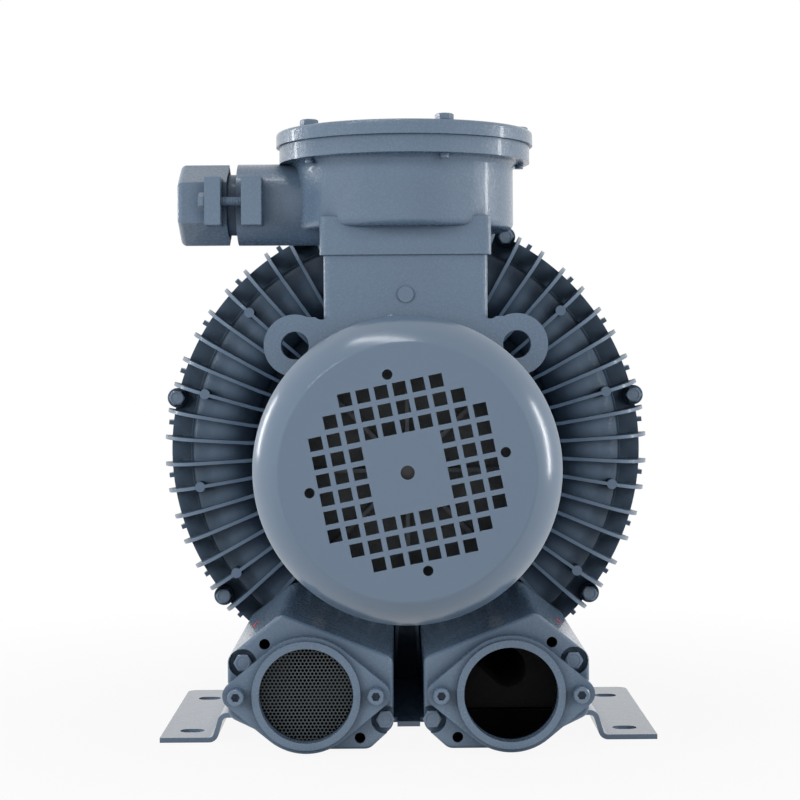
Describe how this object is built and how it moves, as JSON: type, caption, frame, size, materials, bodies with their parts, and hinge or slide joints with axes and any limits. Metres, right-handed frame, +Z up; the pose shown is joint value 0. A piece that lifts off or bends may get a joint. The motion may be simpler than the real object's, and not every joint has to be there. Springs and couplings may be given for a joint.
{
  "type": "side channel blower",
  "caption": "Side channel blower driven by a flameproof motor, with twin silencer ports below, a finned ring housing, a terminal box on top and a foot bracket.",
  "frame": {"origin": "on the floor, midway between the four foot slots", "axes": "+X right as seen from the fan cowl, +Y along the shaft away from the fan cowl, +Z up"},
  "size_m": [0.4418, 0.415, 0.506],
  "materials": {
    "blue_grey_cast_paint": "blue-grey gloss enamel over sand-cast aluminium, orange peel texture",
    "blue_grey_iron_paint": "blue-grey gloss enamel over grey cast iron, orange peel texture",
    "blue_grey_sheet_paint": "smooth gloss enamel on pressed sheet steel",
    "bare_aluminium": "machined and cast aluminium, unpainted",
    "zinc_steel": "zinc plated steel",
    "machined_steel": "ground steel",
    "core_steel": "laminated electrical steel",
    "winding_copper": "varnished copper wire",
    "terminal_brass": "brass",
    "black_rubber": "black nitrile rubber",
    "grey_gasket": "fibre gasket sheet",
    "dark_foam": "open-cell acoustic foam",
    "terminal_plastic": "moulded thermoset",
    "fan_plastic": "moulded nylon",
    "steel_mesh": "woven wire screen"
  },
  "bodies": {
    "machine": {"box_lid": "blue_grey_iron_paint", "box_lid_seal": "black_rubber", "casing_screws": "blue_grey_cast_paint", "cover_screws": "blue_grey_cast_paint", "cowl_screws": "blue_grey_cast_paint", "drive_end_bearing_outer_ring": "machined_steel", "drive_end_shield": "blue_grey_cast_paint", "end_shield_screws": "zinc_steel", "fan_cowl": "blue_grey_sheet_paint", "fan_end_bearing_outer_ring": "machined_steel", "fan_end_shield": "blue_grey_cast_paint", "foot_bracket": "blue_grey_sheet_paint", "foot_screws": "zinc_steel", "front_housing": "blue_grey_cast_paint", "gland_bolts": "blue_grey_cast_paint", "gland_cap": "blue_grey_iron_paint", "gland_seal": "black_rubber", "gland_sleeve": "blue_grey_iron_paint", "inlet_screen": "steel_mesh", "left_cover_gasket": "grey_gasket", "left_port_flange": "blue_grey_cast_paint", "left_port_gasket": "grey_gasket", "left_silencer_body": "blue_grey_cast_paint", "left_silencer_cover": "blue_grey_cast_paint", "left_silencer_foam": "dark_foam", "lid_screws": "blue_grey_cast_paint", "motor_frame": "blue_grey_iron_paint", "neck_screws": "zinc_steel", "pedestal_plug": "blue_grey_cast_paint", "port_flange_screws": "blue_grey_cast_paint", "rear_housing": "blue_grey_cast_paint", "right_cover_gasket": "grey_gasket", "right_port_flange": "blue_grey_cast_paint", "right_port_gasket": "grey_gasket", "right_silencer_body": "blue_grey_cast_paint", "right_silencer_cover": "blue_grey_cast_paint", "right_silencer_foam": "dark_foam", "shaft_seal": "black_rubber", "shield_flange_screws": "zinc_steel", "silencer_screws": "zinc_steel", "stator_core": "core_steel", "stator_windings": "winding_copper", "terminal_block": "terminal_plastic", "terminal_box": "blue_grey_iron_paint", "terminal_studs": "terminal_brass", "wave_spring": "zinc_steel"},
    "rotor": {"shaft": "machined_steel", "rotor_core": "core_steel", "impeller": "bare_aluminium", "impeller_key": "machined_steel", "impeller_washer": "zinc_steel", "impeller_bolt": "zinc_steel", "drive_end_bearing_inner_ring": "machined_steel", "fan_end_bearing_inner_ring": "machined_steel", "cooling_fan": "fan_plastic", "fan_clip": "zinc_steel"}
  },
  "joints": [
    {"name": "rotor_spin", "type": "hinge", "parent": "machine", "child": "rotor", "pos_m": [0, 0, 0.228], "axis": [0, 1, 0], "continuous": true}
  ]
}
